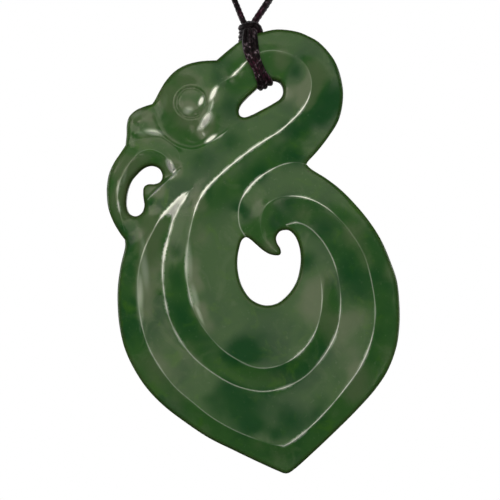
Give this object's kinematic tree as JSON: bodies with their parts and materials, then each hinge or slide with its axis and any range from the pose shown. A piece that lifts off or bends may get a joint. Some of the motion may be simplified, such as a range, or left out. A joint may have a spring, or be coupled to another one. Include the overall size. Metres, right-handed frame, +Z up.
{
  "type": "jade manaia pendant on a neck cord",
  "caption": "Pierced and carved flat jade pendant of a bird-headed figure that curls round a hole, hung by lashed strands on a closed braided neck cord.",
  "frame": {"origin": "middle of the cord behind the neck, where the necklace rests on the nape", "axes": "+Z up; the jade's carved face looks to -Y; +X is on the viewer's right when the carved face is seen"},
  "size_m": [0.1208, 0.1252, 0.2191],
  "materials": {
    "jade": "polished",
    "cord": "waxed braid"
  },
  "bodies": {
    "cord_loop": {"neck_cord": "cord", "nape_knot": "cord"},
    "pendant": {"manaia_plate": "jade", "lashing_1": "cord", "lashing_2": "cord", "lashing_3": "cord", "collar_knot": "cord"}
  },
  "joints": [
    {"name": "pendant_swing", "type": "hinge", "parent": "cord_loop", "child": "pendant", "pos_m": [0, -0.12, -0.151], "axis": [1, 0, 0], "range_deg": [-80, 30]}
  ]
}
